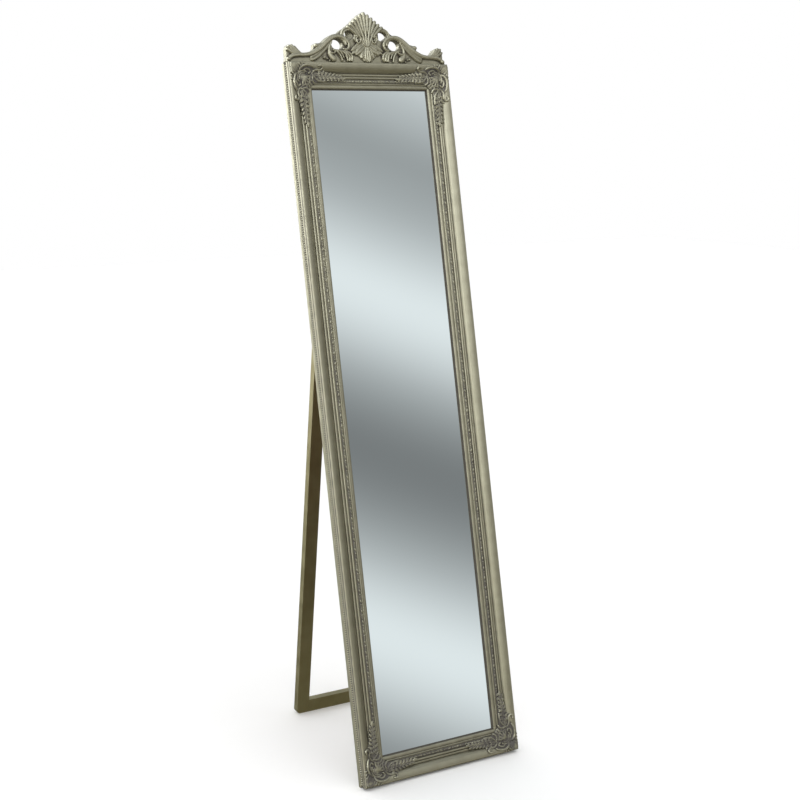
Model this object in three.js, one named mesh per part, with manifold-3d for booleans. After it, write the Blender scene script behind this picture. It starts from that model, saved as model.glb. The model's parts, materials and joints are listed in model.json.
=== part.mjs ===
// Free-standing dressing mirror: a tall moulded frame with a pierced crest and four corner
// ornaments, leaning back on a rear easel stand that is hinged to a batten across its back.
//
// Two groups hold the pieces. The frame group has its origin at the bottom of the frame's
// front face: x to the side, y from the front rim towards the back, z up the frame. It leans
// back about x. The stand group has its origin on the hinge pins and turns about x.
// Lengths are in millimetres, angles in radians.

import * as THREE from 'three';
import { mergeVertices } from 'three/addons/utils/BufferGeometryUtils.js';
import Module from 'manifold-3d';

const wasm = await Module();
wasm.setup();

// ---- driving dimensions ---------------------------------------------------------------

const FRAME_WIDTH = 450;
const FRAME_HEIGHT = 1710;
const FRAME_DEPTH = 32;
const FACE_WIDTH = 64;             // outer edge to sight edge
const LEAN = THREE.MathUtils.degToRad(12);
const OPENING = THREE.MathUtils.degToRad(17.8);   // between the frame's back and the stand
const GAP = 0.3;                   // between pieces that touch
const TURNED_SIDES = 14;           // facets of screws, pins and their holes

const REBATE_SIDE = 56;            // outer edge to the rebate's wall
const REBATE_DEPTH = 17;           // front rim to the glass
const GLASS = 4;
const BACKBOARD = 3;

const CREST_FRONT = 5;
const CREST_BACK = 27;
const DOWEL = { radius: 3.7, length: 38, x: 150 };

const BATTEN = { width: 404, height: 60, depth: 12, below: 16 };
const PIN_HEIGHT = 1458;           // hinge axis, up the frame
const PIN_SETBACK = 3;             // hinge axis behind the batten
const PIN = { radius: 1.3, bore: 1.6, length: 51 };
const LEAF = { width: 50, height: 24, thick: 1.5, front: -2.7, knuckle: 2.4, clear: 2.8 };
const HINGE_X = 60;

const STAND_WIDTH = 264;
const LEG_WIDTH = 35;
const STAND_THICK = 18;
const STAND_FRONT = -0.9;          // the stand's front face, relative to the hinge axis
const STRETCHER_HEIGHT = 34;
const HEAD_RAIL_HEIGHT = 50;
const HEAD_RAIL_DROP = 3.2;        // hinge axis to the top of the head rail
const LEG_TOP = 22;                // how far a leg runs above the hinge axis
const FOOT_RADIUS = 10;

const BATTEN_FRONT = FRAME_DEPTH + GAP;
const BATTEN_BACK = BATTEN_FRONT + BATTEN.depth;
const PIN_Y = BATTEN_BACK + PIN_SETBACK;
const STAND_SLOPE = OPENING - LEAN;          // the stand's angle from upright
const FRAME_LIFT = FRAME_DEPTH * Math.sin(LEAN);
const PIN_WORLD_Y = PIN_Y * Math.cos(LEAN) + PIN_HEIGHT * Math.sin(LEAN);
const PIN_WORLD_Z = PIN_HEIGHT * Math.cos(LEAN) - PIN_Y * Math.sin(LEAN) + FRAME_LIFT;

// ---- finishes -------------------------------------------------------------------------

const FINISH = {
  moulding: { color: 0x9e9884, roughness: 0.42, metalness: 0.55 },
  ornament: { color: 0x8f897a, roughness: 0.5, metalness: 0.5 },
  stand: { color: 0x8d8768, roughness: 0.5, metalness: 0.35 },
  mirror: { color: 0xd5dcdf, roughness: 0.03, metalness: 1 },
  board: { color: 0x4a3a2a, roughness: 0.85, metalness: 0 },
  wood: { color: 0xc9a878, roughness: 0.7, metalness: 0 },
  steel: { color: 0xb7b9bb, roughness: 0.35, metalness: 0.9 },
};

// ---- helpers --------------------------------------------------------------------------

function piece(name, geometry, finish, parent, place = {}) {
  const mesh = new THREE.Mesh(geometry, new THREE.MeshStandardMaterial(FINISH[finish]));
  mesh.name = name;
  mesh.position.set(...(place.at ?? [0, 0, 0]));
  mesh.rotation.set(...(place.turn ?? [0, 0, 0]));
  parent.add(mesh);
  return mesh;
}

function solidOf(geometry) {
  const bare = geometry.clone();
  bare.deleteAttribute('normal');
  bare.deleteAttribute('uv');
  const merged = mergeVertices(bare, 1e-4);
  return new wasm.Manifold(new wasm.Mesh({
    numProp: 3,
    vertProperties: new Float32Array(merged.attributes.position.array),
    triVerts: new Uint32Array(merged.index.array),
  }));
}

function geometryOf(solid) {
  const mesh = solid.getMesh();
  const geometry = new THREE.BufferGeometry();
  geometry.setAttribute('position', new THREE.BufferAttribute(new Float32Array(mesh.vertProperties), 3));
  geometry.setIndex(new THREE.BufferAttribute(new Uint32Array(mesh.triVerts), 1));
  return geometry;
}

function cutFrom(geometry, cutters) {
  const solid = cutters.reduce((left, cutter) => left.subtract(solidOf(cutter)), solidOf(geometry));
  return geometryOf(solid);
}

function box(x0, x1, y0, y1, z0, z1) {
  return new THREE.BoxGeometry(x1 - x0, y1 - y0, z1 - z0)
    .translate((x0 + x1) / 2, (y0 + y1) / 2, (z0 + z1) / 2);
}

// A profile in the y-z plane, extruded along x from x0 to x1.
function extrudeAlongX(points, x0, x1) {
  const shape = new THREE.Shape(points.map(([y, z]) => new THREE.Vector2(y, z)));
  return new THREE.ExtrudeGeometry(shape, { depth: x1 - x0, bevelEnabled: false })
    .applyMatrix4(new THREE.Matrix4().makeBasis(
      new THREE.Vector3(0, 1, 0), new THREE.Vector3(0, 0, 1), new THREE.Vector3(1, 0, 0)))
    .translate(x0, 0, 0);
}

// A shape in the x-z plane, extruded along y from y0 to y1.
function extrudeAlongY(shape, y0, y1, curveSegments = 10) {
  return new THREE.ExtrudeGeometry(shape, { depth: y1 - y0, bevelEnabled: false, curveSegments })
    .rotateX(Math.PI / 2)
    .translate(0, y1, 0);
}

// Rings of matching points, joined into one closed body with a cap on the first and last.
function loft(rings) {
  const count = rings[0].length;
  const positions = rings.flat(2);
  const index = [];
  for (let ring = 0; ring + 1 < rings.length; ring++) {
    for (let i = 0; i < count; i++) {
      const a = ring * count + i;
      const b = ring * count + (i + 1) % count;
      index.push(a, b, b + count, a, b + count, a + count);
    }
  }
  return { positions, index, last: (rings.length - 1) * count };
}

function closedBody({ positions, index, last }, profile) {
  const outline = profile.map(([t, y]) => new THREE.Vector2(t, y));
  for (const [a, b, c] of THREE.ShapeUtils.triangulateShape(outline, [])) {
    index.push(a, c, b, last + a, last + b, last + c);
  }
  const geometry = new THREE.BufferGeometry();
  geometry.setAttribute('position', new THREE.Float32BufferAttribute(positions, 3));
  geometry.setIndex(index);
  return facingOut(geometry);
}

function facingOut(geometry) {
  const { array } = geometry.attributes.position;
  const index = geometry.index.array;
  const corner = (i) => new THREE.Vector3().fromArray(array, index[i] * 3);
  let volume = 0;
  for (let i = 0; i < index.length; i += 3) {
    volume += corner(i).dot(corner(i + 1).cross(corner(i + 2)));
  }
  if (volume < 0) {
    for (let i = 0; i < index.length; i += 3) {
      [index[i + 1], index[i + 2]] = [index[i + 2], index[i + 1]];
    }
  }
  return geometry;
}

// A straight bar along x with both ends mitred. The profile's points are [t, y]: t runs
// inwards from the outer edge, which lies at z = 0, and the bar hangs below it.
function mitredBar(profile, length) {
  const end = (side) => profile.map(([t, y]) => [side * (length / 2 - t - GAP / 2), y, -t]);
  return closedBody(loft([end(-1), end(1)]), profile);
}

// The same profile swept round one corner at x = 0, z = 0, along +x and along -z.
function mitredCorner(profile, reach) {
  const alongTop = profile.map(([t, y]) => [reach, y, -t]);
  const mitre = profile.map(([t, y]) => [t, y, -t]);
  const downSide = profile.map(([t, y]) => [t, y, -reach]);
  return closedBody(loft([alongTop, mitre, downSide]), profile);
}

// Points on an arc of an ellipse about [t, y], angles in degrees.
function arc([t, y], [radiusT, radiusY], from, to, steps) {
  return Array.from({ length: steps + 1 }, (_, i) => {
    const angle = THREE.MathUtils.degToRad(from + (to - from) * i / steps);
    return [t + radiusT * Math.cos(angle), y + radiusY * Math.sin(angle)];
  });
}

// ---- the frame's moulding -------------------------------------------------------------

// Half-round reed from t0 to t1, rising from depth y to a crown.
const reed = (t0, t1, y, crown) => arc([(t0 + t1) / 2, y], [(t1 - t0) / 2, y - crown], 180, 360, 8);

const mouldingProfile = [
  ...arc([3, 3], [3, 3], 180, 270, 5),                 // rounded outer rim
  ...arc([4, 17], [22, 17], 272, 335, 10),             // wide convex slope
  [25.2, 11],
  ...reed(26, 31.6, 10, 8.2),
  ...reed(32.8, 38.8, 9.4, 6.2),
  [39.8, 9.4],
  [40.6, 9],                                           // bed of the pearl band
  [47.6, 9],
  [48.4, 9.8],
  ...reed(49, 52.2, 9.6, 8),
  [52.8, 10.4],
  ...arc([56, 12], [5.4, 2.4], 200, 340, 6),           // lip
  [FACE_WIDTH, REBATE_DEPTH],                          // sight edge
  [REBATE_SIDE, REBATE_DEPTH],
  [REBATE_SIDE, FRAME_DEPTH],
  [0, FRAME_DEPTH],
  [0, 24],                                             // bed of the side beads
  [2.2, 23],
  [2.2, 12.6],
  [0, 11.6],
];

const pearlBandProfile = [[40.9, 8.7], ...arc([44.1, 8.4], [3.1, 2.5], 180, 360, 8), [47.3, 8.7]];
const sideBeadProfile = [[1.9, 22.4], ...arc([1.8, 17.8], [1.6, 4.4], 90, 270, 8), [1.9, 13.2]];

// The four sides of the frame: [name, length, place].
const SIDES = [
  ['top', FRAME_WIDTH, { at: [0, 0, FRAME_HEIGHT] }],
  ['bottom', FRAME_WIDTH, { at: [0, 0, 0], turn: [0, Math.PI, 0] }],
  ['left', FRAME_HEIGHT, { at: [-FRAME_WIDTH / 2, 0, FRAME_HEIGHT / 2], turn: [0, -Math.PI / 2, 0] }],
  ['right', FRAME_HEIGHT, { at: [FRAME_WIDTH / 2, 0, FRAME_HEIGHT / 2], turn: [0, Math.PI / 2, 0] }],
];
const railName = (side) => (side === 'top' || side === 'bottom' ? `${side}_rail` : `${side}_stile`);

// ---- screws, clips and their places ---------------------------------------------------

// Turned screw along -z, its head's underside at z = 0.
function roundHeadScrew(radius, length, head) {
  const profile = [
    [0, -length], [radius * 0.6, -length + radius * 2], [radius, -length + radius * 3],
    [radius, 0], [head, 0], [head * 0.8, head * 0.45], [0, head * 0.65],
  ];
  return new THREE.LatheGeometry(profile.map(([r, z]) => new THREE.Vector2(r, z)), TURNED_SIDES)
    .rotateX(Math.PI / 2);
}

// Countersunk screw along -z, its head's face at z = 0. A positive growth makes the cutter.
function countersunkScrew(radius, length, head, grow = 0) {
  const profile = [
    [0, -length - grow], [radius * 0.5 + grow, -length - grow], [radius + grow, -length + radius * 2],
    [radius + grow, -LEAF.thick], [head + grow, grow ? GAP / 2 : 0], [0, grow ? GAP / 2 : 0],
  ];
  return new THREE.LatheGeometry(profile.map(([r, z]) => new THREE.Vector2(r, z)), TURNED_SIDES)
    .rotateX(Math.PI / 2);
}

// A round hole along y from y0 to y1.
function holeAlongY(x, z, radius, y0, y1) {
  return new THREE.CylinderGeometry(radius, radius, y1 - y0, TURNED_SIDES)
    .translate(x, (y0 + y1) / 2, z);
}

const CLIP = { width: 14, thick: 1.2, foot: 40, step: 57, tip: 68, screw: 47 };
const CLIP_SCREW = { radius: 1.5, length: 13, head: 3.2 };
const BATTEN_SCREW = { radius: 2, length: 26, head: 3.9 };
const HINGE_SCREW = { radius: 1.4, length: 10, head: 2.9 };
const CLIP_PLACES = [
  { side: 'top', along: 0 },
  { side: 'bottom', along: 0 },
  { side: 'left', along: 380 },
  { side: 'left', along: -340 },
  { side: 'right', along: -380 },
  { side: 'right', along: 340 },
];
const BATTEN_SCREW_PLACES = [
  { x: -188, z: PIN_HEIGHT }, { x: -188, z: PIN_HEIGHT + 28 },
  { x: 188, z: PIN_HEIGHT }, { x: 188, z: PIN_HEIGHT + 28 },
];

// ---- the frame ------------------------------------------------------------------------

function railCutters(side) {
  const cutters = [];
  for (const { side: owner, along } of CLIP_PLACES) {
    if (owner === side) {
      const radius = CLIP_SCREW.radius + GAP;
      cutters.push(holeAlongY(along, -CLIP.screw, radius, FRAME_DEPTH - 13, FRAME_DEPTH + 1));
    }
  }
  if (side === 'top') {
    cutters.push(...dowelHoles());
  }
  if (side === 'left' || side === 'right') {
    const outward = side === 'left' ? -1 : 1;
    for (const { x, z } of BATTEN_SCREW_PLACES.filter((place) => place.x * outward > 0)) {
      const along = -outward * (z - FRAME_HEIGHT / 2);
      const down = Math.abs(x) - FRAME_WIDTH / 2;
      cutters.push(holeAlongY(along, down, BATTEN_SCREW.radius + GAP, FRAME_DEPTH - 16, FRAME_DEPTH + 1));
    }
  }
  return cutters;
}

// The two upright dowel holes that cross the joint between the top rail and the crest. The
// joint lies at z = 0 in the rail's axes; drop is how far it lies below the caller's origin.
function dowelHoles(drop = 0) {
  const radius = DOWEL.radius + GAP;
  const middle = (CREST_FRONT + CREST_BACK) / 2;
  return [-DOWEL.x, DOWEL.x].map((x) => (
    new THREE.CylinderGeometry(radius, radius, DOWEL.length + 2, TURNED_SIDES)
      .rotateX(Math.PI / 2)
      .translate(x, middle, -drop)));
}

function addMoulding(frame) {
  for (const [side, length, place] of SIDES) {
    const rail = cutFrom(mitredBar(mouldingProfile, length), railCutters(side));
    piece(railName(side), rail, 'moulding', frame, place);
    piece(`${side}_pearl_band`, mitredBar(pearlBandProfile, length), 'ornament', frame, place);
    const beads = mitredBar(sideBeadProfile, length);
    const beadCutters = side === 'top' ? dowelHoles() : [];
    piece(`${side}_side_beads`, cutFrom(beads, beadCutters), 'moulding', frame, place);
  }
}

// Corner ornament: a leaf casting that bridges the moulding. Half its outline is given as
// [along the edge, inwards]; the other half mirrors it across the corner's diagonal.
const ORNAMENT_HALF = [
  [98, 3], [102, 9], [99, 16], [108, 18], [117, 20], [126, 22], [134, 22], [142, 27],
  [152, 33], [155, 39], [148, 43], [136, 45], [124, 46], [112, 46], [98, 47], [84, 48],
  [72, 51], [63, 56],
];
const ORNAMENT_CORNER = 2;
const ornamentShell = [
  [1.5, -0.4], [1.5, -3.2], [8, -4], [16, -2.6], [24, 0], [34, 1], [46, 1], [54, 3.4], [63.6, 9],
  [63.6, 10.8], [57, 9], [51, 7.2], [45, 5.3], [36, 5.3], [22, 6.2], [19, 4.1], [14, 1.4], [8, -0.1],
];

function ornamentShape() {
  const half = ORNAMENT_HALF.map(([a, b]) => new THREE.Vector2(a, -b));
  const mirrored = ORNAMENT_HALF.map(([a, b]) => new THREE.Vector2(b, -a)).reverse();
  return new THREE.Shape([new THREE.Vector2(ORNAMENT_CORNER, -ORNAMENT_CORNER), ...half, ...mirrored]);
}

function addOrnaments(frame) {
  const reach = 158;
  const shell = solidOf(mitredCorner(ornamentShell, reach));
  const outline = solidOf(extrudeAlongY(ornamentShape(), -8, 20));
  const casting = geometryOf(shell.intersect(outline));
  const x = FRAME_WIDTH / 2;
  const corners = [
    ['top_left', [-x, 0, FRAME_HEIGHT], 0],
    ['top_right', [x, 0, FRAME_HEIGHT], Math.PI / 2],
    ['bottom_right', [x, 0, 0], Math.PI],
    ['bottom_left', [-x, 0, 0], -Math.PI / 2],
  ];
  for (const [name, at, turn] of corners) {
    piece(`${name}_ornament`, casting.clone(), 'ornament', frame, { at, turn: [0, turn, 0] });
  }
}

// Half the crest's outline from the middle of its top to its foot, [x, height].
const CREST_HALF = [
  [0, 120], [12, 115], [25, 108], [36, 98], [46, 90], [57, 84.5], [68, 79.5], [76, 72], [86, 68],
  [100, 63], [110, 57.5], [120, 51], [127, 48], [134, 46.5], [142, 46], [149, 41], [150, 34],
  [154, 28], [163, 25], [173, 23.5], [183, 24], [190, 29], [197, 36.5], [206, 43], [215, 43.5],
  [221, 38], [223, 28], [223, 14], [225, 0],
];
const CREST_HOLES = [
  { x: 80, z: 45.5, rx: 15.5, rz: 13 },
  { x: 46, z: 66, rx: 14.5, rz: 12 },
];

function addCrest(frame) {
  const right = CREST_HALF.map(([x, z]) => new THREE.Vector2(x, z));
  const left = CREST_HALF.slice(1).map(([x, z]) => new THREE.Vector2(-x, z)).reverse();
  const shape = new THREE.Shape([...right, ...left]);
  for (const { x, z, rx, rz } of CREST_HOLES) {
    for (const side of [-1, 1]) {
      const rim = arc([side * x, z], [rx, rz], 0, 345, 23);
      shape.holes.push(new THREE.Path(rim.map(([holeX, holeZ]) => new THREE.Vector2(holeX, holeZ))));
    }
  }
  const plate = extrudeAlongY(shape, CREST_FRONT, CREST_BACK, 12);
  piece('crest', cutFrom(plate, dowelHoles(GAP)), 'moulding', frame, { at: [0, 0, FRAME_HEIGHT + GAP] });

  const middle = (CREST_FRONT + CREST_BACK) / 2;
  for (const [name, x] of [['left', -DOWEL.x], ['right', DOWEL.x]]) {
    const dowel = new THREE.CylinderGeometry(DOWEL.radius, DOWEL.radius, DOWEL.length, TURNED_SIDES);
    const place = { at: [x, middle, FRAME_HEIGHT], turn: [Math.PI / 2, 0, 0] };
    piece(`${name}_crest_dowel`, dowel, 'wood', frame, place);
  }
}

function addGlassAndBack(frame) {
  const edge = REBATE_SIDE + 0.5;
  const halfWidth = FRAME_WIDTH / 2 - edge;
  const sheet = (y, thick) => box(-halfWidth, halfWidth, y, y + thick, edge, FRAME_HEIGHT - edge);
  const glassFront = REBATE_DEPTH + GAP;
  const boardFront = glassFront + GLASS + GAP;
  piece('mirror_glass', sheet(glassFront, GLASS), 'mirror', frame);
  piece('backboard', sheet(boardFront, BACKBOARD), 'board', frame);
  addClips(frame, boardFront + BACKBOARD + GAP);
}

// Cranked steel clips: a foot on the frame's back, a step, and an arm on the backboard.
function addClips(frame, armFront) {
  const { width, thick, foot, step, tip, screw } = CLIP;
  const top = FRAME_DEPTH + GAP;
  const profile = [
    [top, -foot], [top, -step], [armFront, -step], [armFront, -tip], [armFront + thick, -tip],
    [armFront + thick, -step - thick], [top + thick, -step - thick], [top + thick, -foot],
  ];
  const strip = extrudeAlongX(profile, -width / 2, width / 2);
  const clip = cutFrom(strip, [holeAlongY(0, -screw, CLIP_SCREW.radius + GAP, top - 1, top + thick + 1)]);
  CLIP_PLACES.forEach(({ side, along }, i) => {
    const holder = new THREE.Group();
    const [, , place] = SIDES.find(([name]) => name === side);
    holder.position.set(...place.at);
    holder.rotation.set(...(place.turn ?? [0, 0, 0]));
    frame.add(holder);
    piece(`back_clip_${i + 1}`, clip.clone(), 'steel', holder, { at: [along, 0, 0] });
    const { radius, length, head } = CLIP_SCREW;
    const at = [along, top + thick + GAP, -screw];
    const turn = [-Math.PI / 2, 0, 0];
    piece(`back_clip_screw_${i + 1}`, roundHeadScrew(radius, length, head), 'steel', holder, { at, turn });
  });
}

function addBatten(frame) {
  const bottom = PIN_HEIGHT - BATTEN.below;
  const half = BATTEN.width / 2;
  const block = box(-half, half, BATTEN_FRONT, BATTEN_BACK, bottom, bottom + BATTEN.height);
  const { radius, length, head } = BATTEN_SCREW;
  const cutters = BATTEN_SCREW_PLACES.map(({ x, z }) => (
    holeAlongY(x, z, radius + GAP, BATTEN_FRONT - 1, BATTEN_BACK + 1)));
  for (const hingeX of [-HINGE_X, HINGE_X]) {
    for (const [x, z] of LEAF_SCREWS) {
      const cutter = screwCutter().rotateX(-Math.PI / 2);
      cutters.push(cutter.translate(hingeX + x, PIN_Y + LEAF.front + LEAF.thick, PIN_HEIGHT + z));
    }
  }
  piece('hinge_batten', cutFrom(block, cutters), 'stand', frame);
  BATTEN_SCREW_PLACES.forEach(({ x, z }, i) => {
    const place = { at: [x, BATTEN_BACK + GAP, z], turn: [-Math.PI / 2, 0, 0] };
    piece(`batten_screw_${i + 1}`, roundHeadScrew(radius, length, head), 'steel', frame, place);
  });
}

// ---- the hinges -----------------------------------------------------------------------

const LEAF_SCREWS = [[-15, 15], [15, 15]];       // [x, height above the pin] on the frame's leaf
const KNUCKLE_SPLIT = 8.3;                       // half the middle knuckle's length

function screwCutter() {
  const { radius, length, head } = HINGE_SCREW;
  return countersunkScrew(radius, length, head, GAP);
}

const turned = (radius, x0, x1) => new THREE.CylinderGeometry(radius, radius, x1 - x0, TURNED_SIDES)
  .rotateZ(Math.PI / 2)
  .translate((x0 + x1) / 2, 0, 0);

// A hinge leaf about the pin. up is +1 for the frame's leaf and -1 for the stand's; spans
// lists the x ranges of its knuckles. headSide is the y direction its screw heads face.
function hingeLeaf(up, spans, headSide) {
  const half = LEAF.width / 2;
  const back = LEAF.front + LEAF.thick;
  const heights = (near, far) => (up > 0 ? [near, far] : [-far, -near]);
  let solid = solidOf(box(-half, half, LEAF.front, back, ...heights(LEAF.clear, LEAF.height)));
  for (const [x0, x1] of spans) {
    const lug = solidOf(box(x0, x1, LEAF.front, back, ...heights(0, LEAF.clear + 1)));
    solid = solid.add(lug).add(solidOf(turned(LEAF.knuckle, x0, x1)));
  }
  const bore = turned(PIN.bore, -half - 1, half + 1);
  const cutters = LEAF_SCREWS.map(([x, z]) => (
    screwCutter().rotateX(-headSide * Math.PI / 2).translate(x, headSide > 0 ? back : LEAF.front, up * z)));
  return cutFrom(geometryOf(solid), [bore, ...cutters]);
}

function addHinges(frame, stand) {
  const half = LEAF.width / 2;
  const outer = [[-half, -KNUCKLE_SPLIT - GAP], [KNUCKLE_SPLIT + GAP, half]];
  const middle = [[-KNUCKLE_SPLIT, KNUCKLE_SPLIT]];
  const { radius, length, head } = HINGE_SCREW;
  for (const [name, x] of [['left', -HINGE_X], ['right', HINGE_X]]) {
    const onFrame = [x, PIN_Y, PIN_HEIGHT];
    piece(`${name}_hinge_frame_leaf`, hingeLeaf(1, outer, 1), 'steel', frame, { at: onFrame });
    piece(`${name}_hinge_stand_leaf`, hingeLeaf(-1, middle, -1), 'steel', stand, { at: [x, 0, 0] });
    const pin = turned(PIN.radius, -PIN.length / 2, PIN.length / 2);
    piece(`${name}_hinge_pin`, pin, 'steel', frame, { at: onFrame });
    LEAF_SCREWS.forEach(([screwX, z], i) => {
      const screw = () => countersunkScrew(radius, length, head);
      const rear = PIN_Y + LEAF.front + LEAF.thick;
      const frameSide = { at: [x + screwX, rear, PIN_HEIGHT + z], turn: [-Math.PI / 2, 0, 0] };
      const standSide = { at: [x + screwX, LEAF.front, -z], turn: [Math.PI / 2, 0, 0] };
      piece(`${name}_frame_leaf_screw_${i + 1}`, screw(), 'steel', frame, frameSide);
      piece(`${name}_stand_leaf_screw_${i + 1}`, screw(), 'steel', stand, standSide);
    });
  }
}

// ---- the easel stand ------------------------------------------------------------------

// Height in the stand's own axes at which depth y meets the floor.
const floorAt = (y) => (-PIN_WORLD_Z - y * Math.sin(STAND_SLOPE)) / Math.cos(STAND_SLOPE);

// Depth of the stop cut at height z above the pin: there the open leg meets the batten.
const stopAt = (z) => (GAP - PIN_SETBACK + z * Math.sin(OPENING)) / Math.cos(OPENING);
const STOP_START = (PIN_SETBACK - GAP + STAND_FRONT * Math.cos(OPENING)) / Math.sin(OPENING);

function legGeometry(side) {
  const back = STAND_FRONT + STAND_THICK;
  const profile = [
    [STAND_FRONT, floorAt(STAND_FRONT)], [back, floorAt(back)], [back, LEG_TOP],
    [stopAt(LEG_TOP), LEG_TOP], [STAND_FRONT, STOP_START],
  ];
  const outer = STAND_WIDTH / 2;
  const inner = outer - LEG_WIDTH;
  const bar = extrudeAlongX(profile, side > 0 ? inner : -outer, side > 0 ? outer : -inner);
  const low = floorAt(back) - 1;
  const foot = floorAt(STAND_FRONT) + FOOT_RADIUS;
  const outline = new THREE.Shape();
  outline.moveTo(side * inner, low);
  outline.lineTo(side * (outer - FOOT_RADIUS), low);
  outline.lineTo(side * (outer - FOOT_RADIUS), foot - FOOT_RADIUS);
  outline.absarc(side * (outer - FOOT_RADIUS), foot, FOOT_RADIUS, -Math.PI / 2,
    side > 0 ? 0 : -Math.PI, side < 0);
  outline.lineTo(side * outer, LEG_TOP + 1);
  outline.lineTo(side * inner, LEG_TOP + 1);
  const face = extrudeAlongY(outline, STAND_FRONT - 1, back + 1, 6);
  return geometryOf(solidOf(bar).intersect(solidOf(face)));
}

function addStand(stand) {
  piece('left_leg', legGeometry(-1), 'stand', stand);
  piece('right_leg', legGeometry(1), 'stand', stand);

  const half = STAND_WIDTH / 2 - LEG_WIDTH - GAP;
  const back = STAND_FRONT + STAND_THICK;
  const top = floorAt(STAND_FRONT) + STRETCHER_HEIGHT;
  const profile = [
    [STAND_FRONT, floorAt(STAND_FRONT)], [back, floorAt(back)], [back, top], [STAND_FRONT, top],
  ];
  piece('bottom_stretcher', extrudeAlongX(profile, -half, half), 'stand', stand);

  const railTop = -HEAD_RAIL_DROP;
  const rail = box(-half, half, STAND_FRONT, back, railTop - HEAD_RAIL_HEIGHT, railTop);
  const cutters = [-HINGE_X, HINGE_X].flatMap((hingeX) => LEAF_SCREWS.map(([x, z]) => (
    screwCutter().rotateX(Math.PI / 2).translate(hingeX + x, LEAF.front, -z))));
  piece('stand_head_rail', cutFrom(rail, cutters), 'stand', stand);
}

// ---- assembly -------------------------------------------------------------------------

const frame = new THREE.Group();
frame.rotation.x = -LEAN;
frame.position.z = FRAME_LIFT;

const stand = new THREE.Group();
stand.rotation.x = STAND_SLOPE;
stand.position.set(0, PIN_WORLD_Y, PIN_WORLD_Z);

addMoulding(frame);
addOrnaments(frame);
addCrest(frame);
addGlassAndBack(frame);
addBatten(frame);
addHinges(frame, stand);
addStand(stand);

const model = new THREE.Group();
model.add(frame, stand);
model.updateMatrixWorld(true);
const footprint = new THREE.Box3().setFromObject(model, true).getCenter(new THREE.Vector3());
model.position.y = -footprint.y;          // the origin is the middle of the footprint

export default model;
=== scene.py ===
"""Looks of a free-standing dressing mirror with an ornate aged-silver frame and an easel stand.

Pieces are drawn in millimetres in the frame's own axes (x to the side, y from the front rim to
the back, z up the frame), then placed in metres by PLACE. The CAD model gives the sizes.
"""
import json
import math

import bmesh
import bpy
import numpy as np
from mathutils import Matrix, Vector
from mathutils.geometry import tessellate_polygon


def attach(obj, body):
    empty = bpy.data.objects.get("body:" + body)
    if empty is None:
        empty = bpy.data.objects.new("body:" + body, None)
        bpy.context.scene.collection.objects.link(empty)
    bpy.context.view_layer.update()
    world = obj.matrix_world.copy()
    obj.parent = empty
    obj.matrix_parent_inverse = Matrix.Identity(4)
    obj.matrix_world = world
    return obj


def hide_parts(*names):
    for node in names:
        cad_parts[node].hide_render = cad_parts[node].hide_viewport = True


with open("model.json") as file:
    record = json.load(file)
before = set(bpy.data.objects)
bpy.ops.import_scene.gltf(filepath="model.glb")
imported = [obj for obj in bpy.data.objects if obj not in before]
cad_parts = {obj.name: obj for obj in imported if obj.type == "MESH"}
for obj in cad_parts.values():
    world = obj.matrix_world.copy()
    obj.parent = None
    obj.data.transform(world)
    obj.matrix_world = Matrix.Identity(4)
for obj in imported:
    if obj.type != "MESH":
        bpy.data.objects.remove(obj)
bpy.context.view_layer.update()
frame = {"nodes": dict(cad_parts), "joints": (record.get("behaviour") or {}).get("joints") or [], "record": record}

# ---- sizes, in millimetres --------------------------------------------------------------

MM = 0.001
WIDTH = 450.0
HEIGHT = 1710.0
DEPTH = 32.0
FACE = 64.0                      # outer edge to sight edge
LEAN = math.radians(12)
PIN_LOCAL = Vector((0, 47.3, 1458)) * MM      # the hinge axis in the frame's axes

hinge = next(j for j in frame["joints"] if j["name"] == "stand_hinge")
TILT = Matrix.Rotation(-LEAN, 4, "X")
PLACE = Matrix.Translation(Vector(hinge["pos_m"]) - TILT @ PIN_LOCAL) @ TILT


# ---- mesh helpers -----------------------------------------------------------------------

def add_mesh(name, points, faces, sharp=40.0):
    """A smooth-shaded mesh piece from points in the frame's millimetres."""
    mesh = bpy.data.meshes.new(name)
    mesh.from_pydata([tuple(p) for p in points], [], [tuple(f) for f in faces])
    mesh.transform(PLACE @ Matrix.Scale(MM, 4))
    mesh.validate()
    mesh.polygons.foreach_set("use_smooth", [True] * len(mesh.polygons))
    mesh.set_sharp_from_angle(angle=math.radians(sharp))
    piece = bpy.data.objects.new(name, mesh)
    bpy.context.scene.collection.objects.link(piece)
    return piece


def set_cavity(piece, values):
    """Stores how deep each point lies in a recess, 0 on a crest to 1 in a groove, together with any painted shade
    added to it.
    """
    layer = piece.data.attributes.new("recess_and_shade", "FLOAT", "POINT")
    layer.data.foreach_set("value", np.clip(values, 0, 1).astype(np.float32))


def finish_piece(piece, slot, node):
    """The piece moves with the frame and is drawn instead of the CAD node."""
    piece.data.materials.clear()
    piece.data.materials.append(MATERIALS[slot])
    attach(piece, "frame")
    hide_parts(node)


def arc(centre, radius, start, end, steps):
    """Points on an arc of an ellipse, angles in degrees."""
    angles = np.radians(np.linspace(start, end, steps + 1))
    return [(centre[0] + radius[0] * math.cos(a), centre[1] + radius[1] * math.sin(a)) for a in angles]


# ---- materials --------------------------------------------------------------------------

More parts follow.
